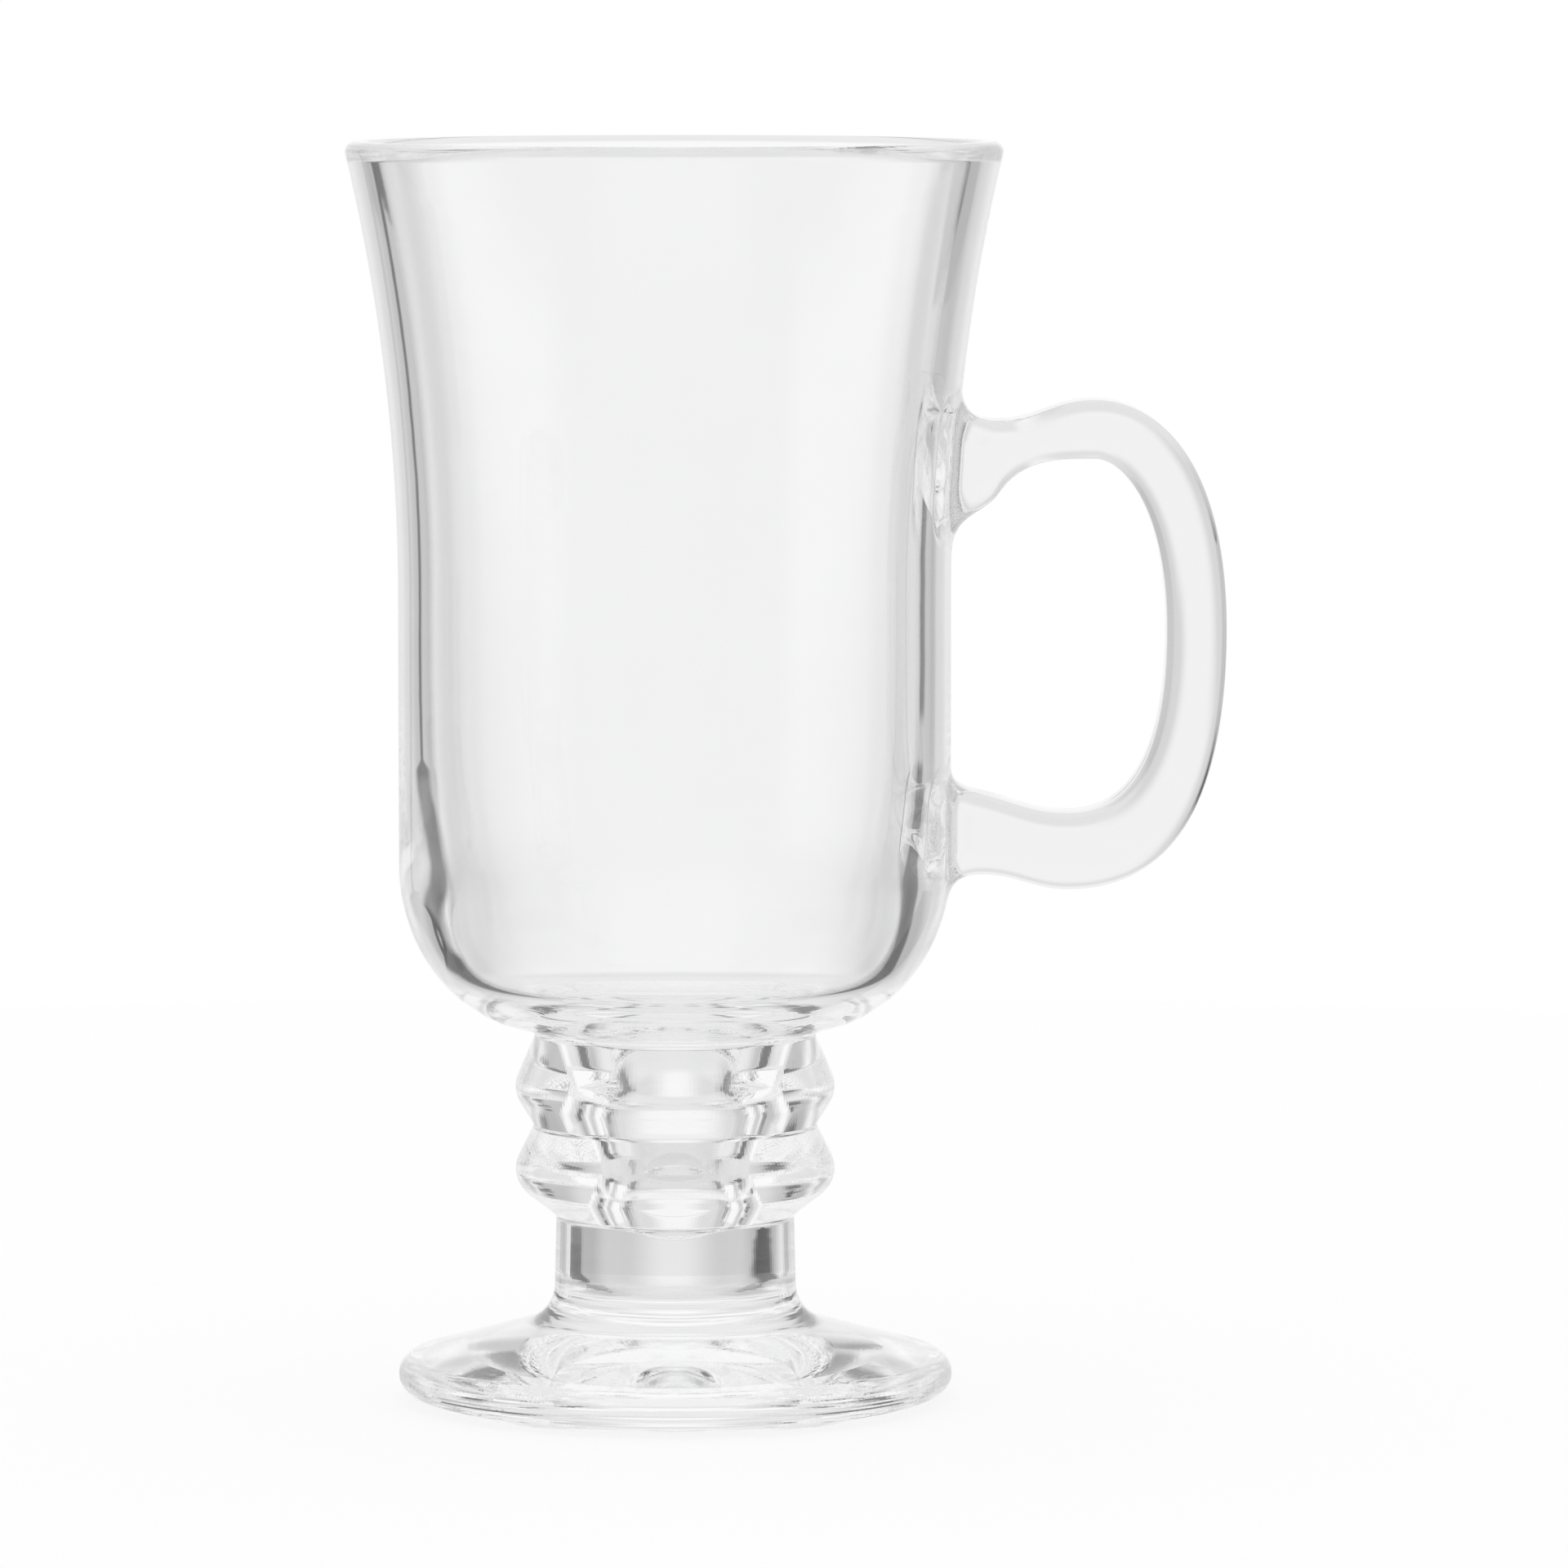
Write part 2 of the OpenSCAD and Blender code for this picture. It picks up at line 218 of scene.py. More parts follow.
row_step = 1.6 * mm
flare_top_z = flare_z + flare_r * math.sin(flare_turn)
rows_between = round((upper_root_low - lower_root_high) / row_step)
rows_over = round((flare_top_z - upper_root_high) / row_step)
wall_rows = even_steps(lower_root_low, lower_root_high, root_rows)
wall_rows += even_steps(lower_root_high, upper_root_low, rows_between)
wall_rows += even_steps(upper_root_low, upper_root_high, root_rows)
wall_rows += even_steps(upper_root_high, flare_top_z, rows_over)
bend_step_share = 0.001
bend_inset_share = 0.02
bottom_end = 0.0
while cubic(bottom_bend, bottom_end)[1] < lower_root_low:
    bottom_end += bend_step_share
seat_joint = joint_angle(upper_crease, upper_crease_r, seat_z)
below = round_part(upper_crease, -upper_crease_r, seat_joint, crease_end, steps=8)
below += bend_part(bottom_bend, steps=44, start=bend_inset_share, end=bottom_end - bend_inset_share)

# Lip, inside of the bowl and well
lip_outer = (lip_r - lip_outer_r, lip_z - lip_outer_r)
lip_inner = (flare_centre[0] - lip_inner_reach * math.cos(lip_inner_turn), lip_z - lip_inner_r)
above = round_part(lip_outer, lip_outer_r, -flare_turn, math.pi / 2, steps=16)
above += round_part(lip_inner, lip_inner_r, math.pi / 2, math.pi - lip_inner_turn, steps=16)
above += round_part(flare_centre, flare_r + wall, math.pi - lip_inner_turn, math.pi, steps=40)[1:]
inner_r = body_r - wall
floor_bend = [
    (inner_r, floor_z + floor_corner_h),
    (inner_r, floor_z + (1 - floor_wall_share) * floor_corner_h),
    (floor_r + floor_corner_share * (inner_r - floor_r), floor_z),
    (floor_r, floor_z),
]
above += bend_part(floor_bend, steps=56)
above += round_part(well_edge, well_edge_r, math.pi / 2, math.pi - well_taper, steps=16)
well_wall_top = above[-1]
well_tip_r = well_wall_top[0] * math.cos(well_taper)
well_tip_r -= (well_wall_top[1] - well_tip_z) * math.sin(well_taper)
well_tip_r /= 1 - math.sin(well_taper)
well_tip = (0.0, well_tip_z + well_tip_r)


def well_part(high, low, steps):
    """Outline points down the wall of the well between two heights, on its taper and on its round tip."""
    points = []
    for z in even_steps(high, low, steps) + [low]:
        if z > well_tip[1] - well_tip_r * math.sin(well_taper):
            faced = math.pi - well_taper
            r = well_wall_top[0] - (well_wall_top[1] - z) * math.tan(well_taper)
        else:
            faced = math.pi - math.asin((well_tip[1] - z) / well_tip_r)
            r = -well_tip_r * math.cos(faced)
        points.append((r, z, faced))
    return points


above += well_part(well_wall_top[1], seat_z, steps=6)[1:]

# Columns round the bowl: close together across the roots of the handle, wider elsewhere
root_turn = root_half_w / body_r
turns = even_steps(-root_turn, root_turn, root_columns)
other_columns = 200
turns += even_steps(root_turn, 2 * math.pi - root_turn, other_columns)


def way_round(turn):
    """Distance along the wall from the handle's plane, negative on the other side of it."""
    return body_r * (turn if turn <= math.pi else turn - 2 * math.pi)


bowl_grid = [[turned_point(r, z, faced, turn) for turn in turns] for r, z, faced in below]
first_wall_row = len(bowl_grid)
bowl_grid += [[wall_point(*eased(way_round(turn), z)) for turn in turns] for z in wall_rows]
bowl_grid += [[turned_point(r, z, faced, turn) for turn in turns] for r, z, faced in above]


def on_root(row, column):
    """True for the faces of the wall that the handle is fused to."""
    from_lower = row - first_wall_row
    from_upper = from_lower - root_rows - rows_between
    return column < root_columns and (0 <= from_lower < root_rows or 0 <= from_upper < root_rows)


class Wire:
    """A socket of a node tree. Sums and products of wires add Math nodes, and make adds any other node."""

    def __init__(self, tree, socket=None):
        self.tree = tree
        self.socket = socket

    def make(self, kind, settings=None, inputs=None, output=0):
        node = self.tree.nodes.new(kind)
        for name, value in (settings or {}).items():
            setattr(node, name, value)
        for name, value in (inputs or {}).items():
            if isinstance(value, Wire):
                self.tree.links.new(value.socket, node.inputs[name])
            else:
                node.inputs[name].default_value = value
        return Wire(self.tree, node.outputs[output] if node.outputs else None)

    def maths(self, operation, first, second=0.0):
        return self.make("ShaderNodeMath", {"operation": operation}, {0: first, 1: second})

    def __add__(self, other):
        return self.maths("ADD", self, other)

    def __radd__(self, other):
        return self.maths("ADD", other, self)

    def __sub__(self, other):
        return self.maths("SUBTRACT", self, other)

    def __rsub__(self, other):
        return self.maths("SUBTRACT", other, self)

    def __mul__(self, other):
        return self.maths("MULTIPLY", self, other)

    def __rmul__(self, other):
        return self.maths("MULTIPLY", other, self)

    def __truediv__(self, other):
        return self.maths("DIVIDE", self, other)

    def ramp(self, low, high):
        """Rises smoothly from 0 to 1 between two values."""
        return self.make("ShaderNodeMapRange", {"interpolation_type": "SMOOTHSTEP"},
                         {"Value": self, "From Min": low, "From Max": high})


def fresh_tree(owner):
    """The emptied node tree of a material or a world."""
    owner.use_nodes = True
    owner.node_tree.nodes.clear()
    return Wire(owner.node_tree)


def clear_glass(name, tint_and_painted_shade, ripple, ripple_size, chilled_r=0.0):
    """Clear soda glass: polished, with a faint ripple that the mould leaves, scuffed where it stands.
    Within the chilled radius the cold plunger left rough chill marks."""
    # The tint is the glass's own grey; where a piece is given a darker tint than the bowl's, the difference
    # is painted shade.
    flattening = 2.2
    peel_share = 0.05
    peel_size = ripple_size / 4.5
    chill_fade = 3 * mm
    mark_share = 7
    mark_size = mm / 0.26
    scuff_size = mm / 0.9
    scuff_roughness = 0.12
    material = bpy.data.materials.new(name)
    nodes = fresh_tree(material)
    place = nodes.make("ShaderNodeTexCoord", output="Object")

    def noise(vector, size, detail, distortion=0.0):
        return nodes.make("ShaderNodeTexNoise", {}, {
            "Vector": vector, "Scale": 1 / size, "Detail": detail, "Distortion": distortion})

    flattened = nodes.make("ShaderNodeMapping", {}, {"Vector": place, "Scale": (1.0, 1.0, flattening)})
    waves = noise(flattened, ripple_size, detail=1.5)
    relief = waves + peel_share * noise(place, peel_size, detail=1.0)
    if chilled_r:
        across = nodes.make("ShaderNodeVectorMath", {"operation": "MULTIPLY"}, {
            0: place, 1: (1.0, 1.0, 0.0)})
        radius = nodes.make("ShaderNodeVectorMath", {"operation": "LENGTH"}, {0: across}, "Value")
        near = 1 - radius.ramp(chilled_r - chill_fade, chilled_r)
        marks = noise(place, mark_size, detail=2.0, distortion=1.2)
        relief = relief + mark_share * marks * near
    bumps = nodes.make("ShaderNodeBump", {}, {"Height": relief, "Strength": 1.0, "Distance": ripple})
    shade = nodes.make("ShaderNodeMix", {"data_type": "RGBA"}, {
        "Factor": waves, 6: (tint_and_painted_shade, tint_and_painted_shade, tint_and_painted_shade, 1.0), 7: (tint_and_painted_shade * 1.01, tint_and_painted_shade * 1.012, tint_and_painted_shade * 1.012, 1.0)}, 2)
    height = nodes.make("ShaderNodeSeparateXYZ", {}, {"Vector": place}, "Z")
    resting = 1 - height.ramp(0.02 * mm, 0.25 * mm)
    scuffs = noise(place, scuff_size, detail=4.0).ramp(0.42, 0.6)
    surface = nodes.make("ShaderNodeBsdfPrincipled", {}, {
        "Base Color": shade, "Roughness": resting * scuffs * scuff_roughness, "Normal": bumps,
        "IOR": 1.52, "Transmission Weight": 1.0})
    nodes.make("ShaderNodeOutputMaterial", {}, {"Surface": surface})
    return material


def fused_joint():
    """Where two hot pieces of glass were fused nothing is left to see, so the joint lets light through."""
    material = bpy.data.materials.new("fused_joint")
    nodes = fresh_tree(material)
    surface = nodes.make("ShaderNodeBsdfTransparent")
    nodes.make("ShaderNodeOutputMaterial", {}, {"Surface": surface})
    return material


polished_glass = clear_glass(
    "polished_glass", tint_and_painted_shade=0.95, ripple=0.012 * mm, ripple_size=14 * mm, chilled_r=19 * mm)
joint = fused_joint()


def glass_piece(name, glass, points, faces, joint_faces, flat_faces, outward):
    """A closed piece of glass from its points and faces, shaded by the way that each point of it faces."""
    mesh = bpy.data.meshes.new(name)
    mesh.from_pydata(points, [], faces)
    mesh.materials.append(glass)
    mesh.materials.append(joint)
    for face in mesh.polygons:
        face.use_smooth = face.index not in flat_faces
        face.material_index = 1 if face.index in joint_faces else 0
    polish(mesh, outward)
    piece = bpy.data.objects.new(name, mesh)
    bpy.context.scene.collection.objects.link(piece)
    return piece


def polish(mesh, outward):
    """Gives each corner of a smooth face its point's own normal, and of a flat face the face's."""
    normals = []
    for face in mesh.polygons:
        for point in face.vertices:
            normals.append(outward[point] if face.use_smooth else face.normal)
    mesh.normals_split_custom_set(normals)


# The last face of each column closes the seat, which is fused to the upper knop
columns = len(turns)
points = [place for row in bowl_grid for place, _ in row]
outward = [faced for row in bowl_grid for _, faced in row]
faces = []
joint_faces = set()
flat_faces = set()
for column in range(columns):
    following = (column + 1) % columns
    for row in range(len(bowl_grid)):
        if on_root(row, column):
            joint_faces.add(len(faces))
        start = row * columns
        next_start = (start + columns) % len(points)
        faces.append((start + column, start + following, next_start + following, next_start + column))
    joint_faces.add(len(faces) - 1)
    flat_faces.add(len(faces) - 1)
bowl = glass_piece("glass_bowl", polished_glass, points, faces, joint_faces, flat_faces, outward)
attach(bowl, "root")
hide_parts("bowl")

# Handle: a flat-sided strap of the same glass with rounded edges, bent into a D for two fingers.
# Both ends swell into roots that are fused to the wall, the upper one with a slanted gusset below it.
strap_w = 12 * mm
strap_corner_r = 2.6 * mm
reach_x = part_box("handle")[1].x
top = (body_r + 17.1 * mm, seat_z + 76.1 * mm)
bottom = (body_r + 14 * mm, seat_z + 17.2 * mm)
grip_z = seat_z + 48.4 * mm
upper_arm_t = 7.1 * mm
grip_t = 7.2 * mm
lower_arm_t = 9.2 * mm
upper_root_l = 5.6 * mm
lower_root_l = 3.6 * mm
upper_dip = (body_r + upper_root_l, top[1] - 2.5 * mm)
lower_rise = (body_r + lower_root_l, bottom[1] + 1.8 * mm)
inner_top = (top[0], top[1] - upper_arm_t)
inner_bottom = (bottom[0], bottom[1] + lower_arm_t)
armpit = (body_r + upper_root_l, seat_z + 64.9 * mm)
elbow = (body_r + lower_root_l, seat_z + 28.7 * mm)
gusset_slope = math.radians(55)
elbow_slope = math.radians(14)
armpit_way = (math.cos(gusset_slope), math.sin(gusset_slope))
elbow_way = (math.cos(elbow_slope), -math.sin(elbow_slope))
arm_share = 0.4
root_along_share = 0.62
root_away_share = 0.6


def arm_bend(start, leave, end, arrive):
    """Bend along an arm, with the ways in which it leaves its start and reaches its end."""
    long = arm_share * math.dist(start, end)
    return [start, (start[0] + long * leave[0], start[1] + long * leave[1]),
            (end[0] - long * arrive[0], end[1] - long * arrive[1]), end]


def grip_bend(arm, grip, away_share, along_share):
    """Bend from a level arm round to the upright middle of the grip."""
    return [arm, (arm[0] + away_share * (grip[0] - arm[0]), arm[1]),
            (grip[0], grip[1] + along_share * (arm[1] - grip[1])), grip]


outer_grip = (reach_x, grip_z)
inner_grip = (reach_x - grip_t, grip_z)
outer_edge = [
    arm_bend(upper_dip, (1, 0), top, (1, 0)),
    grip_bend(top, outer_grip, away_share=0.46, along_share=0.75),
    grip_bend(bottom, outer_grip, away_share=0.63, along_share=0.69)[::-1],
    arm_bend(bottom, (-1, 0), lower_rise, (-1, 0)),
]
inner_edge = [
    arm_bend(armpit, armpit_way, inner_top, (1, 0)),
    grip_bend(inner_top, inner_grip, away_share=0.38, along_share=0.72),
    grip_bend(inner_bottom, inner_grip, away_share=0.59, along_share=0.74)[::-1],
    arm_bend(inner_bottom, (-1, 0), elbow, (-elbow_way[0], -elbow_way[1])),
]

# Shares across and through the strap, once round the edge of its section
section = [(2 * k / root_columns - 1, -1.0) for k in range(root_columns)]
section += [(1.0, 2 * k / root_rows - 1) for k in range(root_rows)]
section += [(-across, -through) for across, through in section]


def strap_ring(outer, inner):
    """One ring of the strap's section, between a point of its outer edge and one of its inner edge."""
    half_t = math.dist(outer, inner) / 2
    middle = ((outer[0] + inner[0]) / 2, (outer[1] + inner[1]) / 2)
    way = ((outer[0] - middle[0]) / half_t, (outer[1] - middle[1]) / half_t)
    ring = []
    for across, through in section:
        y, s = rounded(across * strap_w / 2, through * half_t, strap_w / 2, half_t, strap_corner_r)
        ring.append(Vector((middle[0] + s * way[0], y, middle[1] + s * way[1])))
    return ring


def root_point(low, high, side, across, through):
    """Point of a root on the wall, and its normal. Side is 1 where the strap's outer edge is on top."""
    z = (low + high) / 2 + side * through * (high - low) / 2
    return wall_point(*eased(across * root_half_w, z))


def root_ring(low, high, side):
    """Edge of a root on the wall, in the order of the strap's section."""
    return [root_point(low, high, side, across, through) for across, through in section]


def root_rings(root_edge, arm, long, outer_way, inner_way, steps):
    """Rings from the edge of a root, where they leave along the wall, to the arm."""
    rings = []
    for k in range(steps):
        ring = []
        for (start, facing), end, (_, through) in zip(root_edge, arm, section):
            # The second control point is already as narrow as the arm
            along = end - start
            along.y /= root_along_share
            along -= facing * along.dot(facing)
            share = (through + 1) / 2
            way = Vector((share * outer_way[0] + (1 - share) * inner_way[0], 0,
                          share * outer_way[1] + (1 - share) * inner_way[1]))
            bend = (start, start + root_along_share * along, end - root_away_share * long * way, end)
            ring.append(Vector(cubic(bend, k / steps)))
        rings.append(ring)
    return rings


root_steps = 20
edge_steps = (18, 34, 34, 18)
upper_root_edge = root_ring(upper_root_low, upper_root_high, 1)
lower_root_edge = root_ring(lower_root_low, lower_root_high, -1)
strap = []
for outer, inner, steps in zip(outer_edge, inner_edge, edge_steps):
    strap += [strap_ring(cubic(outer, k / steps), cubic(inner, k / steps)) for k in range(steps)]
strap.append(strap_ring(lower_rise, elbow))
rings = root_rings(upper_root_edge, strap[0], upper_root_l, (1, 0), armpit_way, root_steps)
rings += strap
rings += root_rings(lower_root_edge, strap[-1], lower_root_l, (1, 0), elbow_way, root_steps)[::-1]

# Along the edges of the roots the handle has the wall's normals, so it runs out into the wall
around = len(section)
points = [place for ring in rings for place in ring]
outward = []
for k, ring in enumerate(rings):
    for i in range(around):
        along = rings[min(k + 1, len(rings) - 1)][i] - rings[max(k - 1, 0)][i]
        across = ring[(i + 1) % around] - ring[i - 1]
        outward.append(across.cross(along).normalized())
outward[:around] = [facing for _, facing in upper_root_edge]
outward[-around:] = [facing for _, facing in lower_root_edge]
faces = []
for start in range(0, (len(rings) - 1) * around, around):
    next_start = start + around
    for i in range(around):
        following = (i + 1) % around
        faces.append((start + i, start + following, next_start + following, next_start + i))


def root_face(low, high, side, first):
    """Fills the end of a root with the same points as the wall's patch, and gives the faces."""
    number = {}
    for i, (across, through) in enumerate(section):
        number[round((across + 1) * root_columns / 2), round((through + 1) * root_rows / 2)] = first + i
    for column in range(1, root_columns):
        for row in range(1, root_rows):
            number[column, row] = len(points)
            across, through = 2 * column / root_columns - 1, 2 * row / root_rows - 1
            place, facing = root_point(low, high, side, across, through)
            points.append(place)
            outward.append(-facing)
    made = []
    for column in range(root_columns):
        for row in range(root_rows):
            corners = [number[column, row], number[column, row + 1],
                       number[column + 1, row + 1], number[column + 1, row]]
            made.append(tuple(corners if side > 0 else corners[::-1]))
    return made


joint_faces = set()
for low, high, side, first in (
        (upper_root_low, upper_root_high, 1, 0),
        (lower_root_low, lower_root_high, -1, (len(rings) - 1) * around)):
    ends = root_face(low, high, side, first)
    joint_faces |= set(range(len(faces), len(faces) + len(ends)))
    faces += ends
# The strap's glass has a darker tint than the bowl's, though it is the same glass: painted shade on the
# handle.
strap_glass_painted_shade = clear_glass("strap_glass_painted_shade", tint_and_painted_shade=0.888, ripple=0.012 * mm, ripple_size=14 * mm)
handle = glass_piece("strap_handle", strap_glass_painted_shade, points, faces, joint_faces, joint_faces, outward)
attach(handle, "root")
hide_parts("handle")

# Knops: two thick rings of glass round the well, with rounded noses and small rounds in the creases.
# The mould pressed them with the stem, and their outline is turned about the mug's axis.
waist_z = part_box("upper_knop")[0].z
stem_top_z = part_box("lower_knop")[0].z
knop_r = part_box("upper_knop")[1].y
knop_nose_r = 3.8 * mm
upper_nose = (knop_r - knop_nose_r, waist_z + 4.7 * mm)
lower_nose = (knop_r - knop_nose_r, stem_top_z + 5.7 * mm)
waist_r = 17.1 * mm
waist_crease_r = 0.7 * mm
waist_crease_out_share = 1.14
waist_crease = (waist_r + waist_crease_out_share * waist_crease_r, waist_z)
stem_low, stem_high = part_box("stem")
stem_taper = math.radians(1.36)
neck_crease_r = 1.0 * mm
neck_crease_drop_share = 0.49
neck_crease_z = stem_top_z - neck_crease_drop_share * neck_crease_r
neck_r = stem_high.y - (neck_crease_z - stem_low.z) * math.tan(stem_taper)
neck_crease = (neck_r + neck_crease_r / math.cos(stem_taper), neck_crease_z)
weld = 0.001 * mm
fused_share = 0.75


def turning_tree():
    """Nodes that turn an outline about the axis, weld seam and poles, and set glass and joint apart."""
    tree = bpy.data.node_groups.new("turned_glass", "GeometryNodeTree")
    kinds = {"Outline": "Geometry", "Segments": "Int", "Glass": "Material", "Joint": "Material"}
    for name, kind in kinds.items():
        tree.interface.new_socket(name, in_out="INPUT", socket_type="NodeSocket" + kind)
    tree.interface.new_socket("Turned", in_out="OUTPUT", socket_type="NodeSocketGeometry")
    nodes = Wire(tree)
    outline = nodes.make("NodeGroupInput", output="Outline")
    given = {socket.name: Wire(tree, socket) for socket in outline.socket.node.outputs}
    count = nodes.make("GeometryNodeAttributeDomainSize", {}, {"Geometry": outline}, "Point Count")
    index = nodes.make("GeometryNodeInputIndex")
    column = nodes.maths("FLOOR", (index + 0.5) / count)
    row = index - column * count
    turn = column * (2 * math.pi) / given["Segments"]

    def carried(source, data):
        """A value of the outline's points, on the points that they are turned to."""
        return nodes.make("GeometryNodeSampleIndex", {"data_type": data},
                          {"Geometry": outline, "Value": source, "Index": row})

    def turned(source):
        return nodes.make("ShaderNodeVectorRotate", {"rotation_type": "Z_AXIS"},
                          {"Vector": carried(source, "FLOAT_VECTOR"), "Angle": turn})

    def named(name, data):
        return nodes.make("GeometryNodeInputNamedAttribute", {"data_type": data}, {"Name": name})

    grid = nodes.make("GeometryNodeMeshGrid", {}, {
        "Vertices X": given["Segments"] + 1, "Vertices Y": count})
    for name, data in (("outward", "FLOAT_VECTOR"), ("fused", "FLOAT")):
        value = turned(named(name, data)) if name == "outward" else carried(named(name, data), data)
        grid = nodes.make("GeometryNodeStoreNamedAttribute", {"data_type": data, "domain": "POINT"},
                          {"Geometry": grid, "Name": name, "Value": value})
    shape = nodes.make("GeometryNodeSetPosition", {}, {
        "Geometry": grid, "Position": turned(nodes.make("GeometryNodeInputPosition"))})
    shape = nodes.make("GeometryNodeMergeByDistance", {}, {"Geometry": shape, "Distance": weld})
    end_face = nodes.maths("GREATER_THAN", named("fused", "FLOAT"), fused_share)
    shape = nodes.make("GeometryNodeSetShadeSmooth", {}, {
        "Geometry": shape, "Selection": end_face, "Shade Smooth": False})
    shape = nodes.make("GeometryNodeRealizeInstances", {}, {"Geometry": shape})
    shape = nodes.make("GeometryNodeSetMaterial", {}, {"Geometry": shape, "Material": given["Glass"]})
    shape = nodes.make("GeometryNodeSetMaterial", {}, {
        "Geometry": shape, "Selection": end_face, "Material": given["Joint"]})
    nodes.make("NodeGroupOutput", {}, {"Turned": shape})
    return tree


turned_glass = turning_tree()
pressed_glass = clear_glass("pressed_glass", tint_and_painted_shade=0.965, ripple=0.025 * mm, ripple_size=9 * mm)


def turned_piece(name, glass, outline, joints, segments):
    """A piece of glass turned from its outline, which is closed or starts and ends on the axis.
    Points at the heights of the level joints are marked as fused, and so are the faces between them."""
    mesh = bpy.data.meshes.new(name + "_outline")
    mesh.from_pydata([(r, 0, z) for r, z, _ in outline], [(k, k + 1) for k in range(len(outline) - 1)], [])
    mesh.attributes.new("outward", "FLOAT_VECTOR", "POINT")
    mesh.attributes.new("fused", "FLOAT", "POINT")
    for k, (_, z, faced) in enumerate(outline):
        fused = any(abs(z - joint_z) < weld for joint_z in joints)
        mesh.attributes["outward"].data[k].vector = (math.cos(faced), 0, math.sin(faced))
        mesh.attributes["fused"].data[k].value = float(fused)
    piece = bpy.data.objects.new(name, mesh)
    bpy.context.scene.collection.objects.link(piece)
    modifier = piece.modifiers.new("turning", "NODES")
    modifier.node_group = turned_glass
    values = {"Segments": segments, "Glass": glass, "Joint": joint}
    for item in turned_glass.interface.items_tree:
        if item.name in values:
            modifier[item.identifier] = values[item.name]
    shown = piece.evaluated_get(bpy.context.evaluated_depsgraph_get())
    piece.data = bpy.data.meshes.new_from_object(shown)
    piece.modifiers.remove(modifier)
    # Set Material puts an empty slot before the glass and the joint
    piece.data.materials.pop(index=0)
    polish(piece.data, [Vector(item.vector) for item in piece.data.attributes["outward"].data])
    return piece


level = math.pi / 2
segments = 224


def knop_outline(low_crease, low_r, low_z, nose, high_crease, high_r, high_z):
    """Outline of a knop between the joints in the creases below and above it, round the well."""
    rise = meeting_angle(low_crease, -low_r, nose, knop_nose_r)
    fall = meeting_angle(nose, knop_nose_r, high_crease, -high_r)
    low_joint = joint_angle(low_crease, low_r, low_z)
    high_joint = joint_angle(high_crease, high_r, high_z)
    outline = well_part(low_z, low_z, steps=1)[:1]
    outline += round_part(low_crease, -low_r, low_joint, rise, steps=10)
    outline += round_part(nose, knop_nose_r, rise, fall, steps=36)
    outline += round_part(high_crease, -high_r, fall, high_joint, steps=10)
    return outline + well_part(high_z, low_z, steps=14)


upper_outline = knop_outline(
    waist_crease, waist_crease_r, waist_z, upper_nose, upper_crease, upper_crease_r, seat_z)
lower_outline = knop_outline(
    neck_crease, neck_crease_r, stem_top_z, lower_nose, waist_crease, waist_crease_r, waist_z)
for name, node, outline, joints in (
        ("upper_knop_ring", "upper_knop", upper_outline, (waist_z, seat_z)),
        ("lower_knop_ring", "lower_knop", lower_outline, (stem_top_z, waist_z))):
    knop = turned_piece(name, pressed_glass, outline, joints, segments)
    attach(knop, "root")
    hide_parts(node)

# Stem: the short plain neck under the knops, a little narrower at the top, with the tip of the well in it.
# It runs into the foot in one sweep, so the joint to the foot lies where the fillet starts.
foot_top_z = stem_low.z
stem_r = stem_high.y
stem_outline = [(0.0, foot_top_z, level), (stem_r, foot_top_z, stem_taper)]
neck_joint = joint_angle(neck_crease, neck_crease_r, stem_top_z)
tip_start = well_part(stem_top_z, stem_top_z, steps=1)[0][2]
stem_outline += round_part(neck_crease, -neck_crease_r, stem_taper, neck_joint, steps=8)
stem_outline += round_part(well_tip, -well_tip_r, tip_start, level, steps=20)
# The stem's glass has a much darker tint than the bowl's, though it is the same glass: painted shade that
# darkens the neck.
stem_glass_painted_shade = clear_glass("stem_glass_painted_shade", tint_and_painted_shade=0.8, ripple=0.02 * mm, ripple_size=9 * mm)
stem = turned_piece("plain_stem", stem_glass_painted_shade, stem_outline, (foot_top_z, stem_top_z), segments)
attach(stem, "root")
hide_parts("stem")

# Foot: a round pressed foot with a sloped top and a soft edge, hollowed a little underneath.
# It stands on a flat ring, which is scuffed from use.
foot_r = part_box("foot")[1].y
foot_fillet_r = 4.9 * mm
foot_fillet = (
    stem_r + foot_fillet_r * math.cos(stem_taper),
    foot_top_z + foot_fillet_r * math.sin(stem_taper))
foot_edge_r = 2.4 * mm
foot_edge = (foot_r - foot_edge_r, 3.2 * mm)
rest_r = 1.2 * mm
rest_outer = (28.9 * mm, rest_r)
rest_inner = (23.5 * mm, rest_r)
hollow_depth = 1.4 * mm
hollow_half = 22.8 * mm
hollow_r = (hollow_half ** 2 + hollow_depth ** 2) / (2 * hollow_depth)
hollow_centre = (0.0, hollow_depth - hollow_r)
downward = -level
hollow_faced = meeting_angle(hollow_centre, -hollow_r, rest_inner, rest_r)
edge_faced = meeting_angle(rest_outer, rest_r, foot_edge, foot_edge_r)
slope_faced = meeting_angle(foot_edge, foot_edge_r, foot_fillet, -foot_fillet_r)
foot_outline = round_part(hollow_centre, -hollow_r, downward, hollow_faced, steps=30)
foot_outline += round_part(rest_inner, rest_r, hollow_faced, downward, steps=6)
foot_outline += round_part(rest_outer, rest_r, downward, edge_faced, steps=8)
foot_outline += round_part(foot_edge, foot_edge_r, edge_faced, slope_faced, steps=26)
foot_outline += round_part(foot_fillet, -foot_fillet_r, slope_faced, stem_taper, steps=26)
foot_outline.append((0.0, foot_top_z, level))
foot = turned_piece("round_foot", pressed_glass, foot_outline, (foot_top_z,), segments)
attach(foot, "root")
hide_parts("foot")

